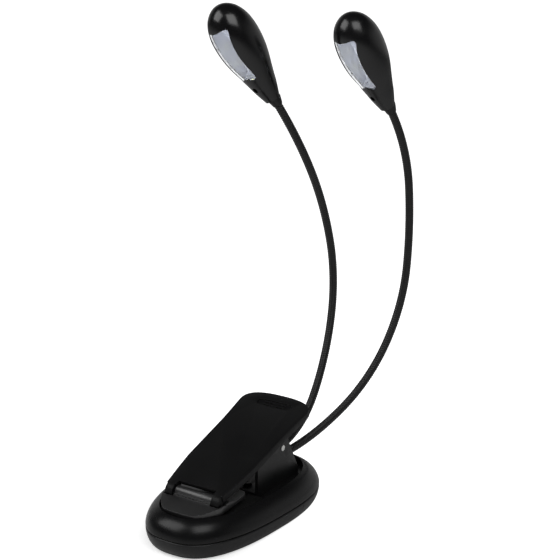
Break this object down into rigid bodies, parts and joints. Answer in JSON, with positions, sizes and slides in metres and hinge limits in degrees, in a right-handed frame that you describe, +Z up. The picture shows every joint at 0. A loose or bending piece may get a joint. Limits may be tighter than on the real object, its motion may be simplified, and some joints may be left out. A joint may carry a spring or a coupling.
{
  "type": "clip on reading lamp",
  "caption": "Clip-on battery reading lamp: oval base with a sprung clip and jaw foot, bendable necks and teardrop lamp heads with a lens window and push button.",
  "frame": {"origin": "middle of the base's underside", "axes": "+Z up, +Y towards the necks at the rear, -Y towards the tip of the jaw, +X to the lamp's left when seen from the jaw"},
  "size_m": [0.0751, 0.1628, 0.2331],
  "materials": {
    "gloss_black": "glossy moulded plastic",
    "satin_black": "fine satin moulded plastic",
    "matte_black": "matte moulded plastic",
    "rubber_black": "soft rubber",
    "neck_black": "fine spiral ribbed sleeve",
    "bright_steel": "bright zinc plated steel",
    "grey_steel": "bare steel",
    "cell_wrap": "printed film wrap, no lettering",
    "cell_tray": "matte moulded plastic",
    "board_green": "lacquered circuit board",
    "part_black": "moulded electronic parts",
    "board_white": "white lacquered circuit board",
    "lens_clear": "clear moulded window",
    "reflector_silver": "metallised bowl",
    "led_yellow": "domed light emitting diode",
    "button_black": "soft push button"
  },
  "bodies": {
    "base": {"base_top_shell": "gloss_black", "base_tail_cover": "satin_black", "battery_tray": "cell_tray", "battery_left": "cell_wrap", "battery_middle": "cell_wrap", "battery_right": "cell_wrap", "battery_springs": "bright_steel", "battery_contacts": "bright_steel", "circuit_board": "board_green", "board_parts": "part_black", "base_screws": "grey_steel", "grip_pad": "rubber_black", "neck_clamp": "grey_steel", "clip_bracket": "matte_black", "bracket_screws": "grey_steel", "clip_pin": "bright_steel", "clip_spring": "bright_steel", "left_neck_end": "neck_black", "right_neck_end": "neck_black"},
    "battery_door": {"battery_door": "satin_black"},
    "lever": {"clip_lever": "matte_black", "jaw_pin": "bright_steel"},
    "jaw": {"jaw_foot": "satin_black", "jaw_pad": "rubber_black"},
    "left_neck_link_1": {"left_neck_1": "neck_black"},
    "left_neck_link_2": {"left_neck_2": "neck_black"},
    "left_neck_link_3": {"left_neck_3": "neck_black"},
    "left_neck_link_4": {"left_neck_4": "neck_black"},
    "left_neck_link_5": {"left_neck_5": "neck_black"},
    "left_head": {"left_head_collar": "satin_black", "left_head_front": "gloss_black", "left_head_back": "gloss_black", "left_head_lens": "lens_clear", "left_head_reflector": "reflector_silver", "left_head_leds": "led_yellow", "left_head_board": "board_white", "left_head_switch": "part_black", "left_head_screw": "grey_steel"},
    "left_button": {"left_head_button": "button_black"},
    "right_neck_link_1": {"right_neck_1": "neck_black"},
    "right_neck_link_2": {"right_neck_2": "neck_black"},
    "right_neck_link_3": {"right_neck_3": "neck_black"},
    "right_neck_link_4": {"right_neck_4": "neck_black"},
    "right_neck_link_5": {"right_neck_5": "neck_black"},
    "right_head": {"right_head_collar": "satin_black", "right_head_front": "gloss_black", "right_head_back": "gloss_black", "right_head_lens": "lens_clear", "right_head_reflector": "reflector_silver", "right_head_leds": "led_yellow", "right_head_board": "board_white", "right_head_switch": "part_black", "right_head_screw": "grey_steel"},
    "right_button": {"right_head_button": "button_black"}
  },
  "joints": [
    {"name": "lever_hinge", "type": "hinge", "parent": "base", "child": "lever", "pos_m": [0, 0.0204, 0.0317], "axis": [-1, 0, 0], "range_deg": [0, 20], "stiffness_Nm_per_rad": 0.45, "springref_deg": -28.65, "deforming": ["clip_spring"]},
    {"name": "jaw_hinge", "type": "hinge", "parent": "lever", "child": "jaw", "pos_m": [0, -0.02749, 0.02202], "axis": [-1, 0, 0], "range_deg": [-20, 0]},
    {"name": "door_slide", "type": "slide", "parent": "base", "child": "battery_door", "axis": [0, -1, 0], "range_m": [0, 0.03]},
    {"name": "left_neck_pitch_1", "type": "hinge", "parent": "base", "child": "left_neck_link_1", "pos_m": [-0.003, 0.0435, 0.0184], "axis": [0.9994, -0.0349, 0], "range_deg": [-8, 15]},
    {"name": "left_neck_sway_2", "type": "hinge", "parent": "left_neck_link_1", "child": "left_neck_link_2", "pos_m": [-0.00381, 0.07946, 0.035], "axis": [-0.0134, 0.7258, -0.6878], "range_deg": [-20, 6]},
    {"name": "left_neck_pitch_3", "type": "hinge", "parent": "left_neck_link_2", "child": "left_neck_link_3", "pos_m": [-0.00507, 0.09766, 0.07064], "axis": [0.9994, 0.0283, -0.0179], "range_deg": [-20, 20]},
    {"name": "left_neck_sway_4", "type": "hinge", "parent": "left_neck_link_3", "child": "left_neck_link_4", "pos_m": [-0.0051, 0.09609, 0.11086], "axis": [-0.0314, 0.9646, 0.2619], "range_deg": [-20, 10]},
    {"name": "left_neck_pitch_5", "type": "hinge", "parent": "left_neck_link_4", "child": "left_neck_link_5", "pos_m": [-0.00634, 0.08082, 0.14835], "axis": [0.9981, 0.0108, 0.0604], "range_deg": [-20, 20]},
    {"name": "left_head_sway", "type": "hinge", "parent": "left_neck_link_5", "child": "left_head", "pos_m": [-0.01455, 0.06349, 0.18393], "axis": [-0.0148, 0.9249, 0.38], "range_deg": [-15, 15]},
    {"name": "left_button_press", "type": "slide", "parent": "left_head", "child": "left_button", "axis": [-0.1318, -0.8945, -0.4272], "range_m": [0, 0.0006], "stiffness_N_per_m": 900, "springref_m": -0.001},
    {"name": "right_neck_pitch_1", "type": "hinge", "parent": "base", "child": "right_neck_link_1", "pos_m": [0.003, 0.0435, 0.0184], "axis": [0.9903, -0.1392, 0], "range_deg": [-8, 15]},
    {"name": "right_neck_sway_2", "type": "hinge", "parent": "right_neck_link_1", "child": "right_neck_link_2", "pos_m": [0.01248, 0.08033, 0.03094], "axis": [0.1319, 0.5362, -0.8337], "range_deg": [-6, 20]},
    {"name": "right_neck_pitch_3", "type": "hinge", "parent": "right_neck_link_2", "child": "right_neck_link_3", "pos_m": [0.02388, 0.10401, 0.06119], "axis": [0.929, -0.3576, -0.0957], "range_deg": [-20, 20]},
    {"name": "right_neck_sway_4", "type": "hinge", "parent": "right_neck_link_3", "child": "right_neck_link_4", "pos_m": [0.03063, 0.11065, 0.10034], "axis": [0.361, 0.9326, 0.0021], "range_deg": [-10, 20]},
    {"name": "right_neck_pitch_5", "type": "hinge", "parent": "right_neck_link_4", "child": "right_neck_link_5", "pos_m": [0.03229, 0.10794, 0.14079], "axis": [0.931, -0.3643, -0.0216], "range_deg": [-20, 20]},
    {"name": "right_head_sway", "type": "hinge", "parent": "right_neck_link_5", "child": "right_head", "pos_m": [0.02792, 0.09719, 0.17941], "axis": [0.3218, 0.821, 0.4716], "range_deg": [-15, 15]},
    {"name": "right_button_press", "type": "slide", "parent": "right_head", "child": "right_button", "axis": [-0.1899, -0.8655, -0.4635], "range_m": [0, 0.0006], "stiffness_N_per_m": 900, "springref_m": -0.001}
  ],
  "couplings": [
    {"joint": "jaw_hinge", "follows": "lever_hinge", "ratio": -1}
  ]
}
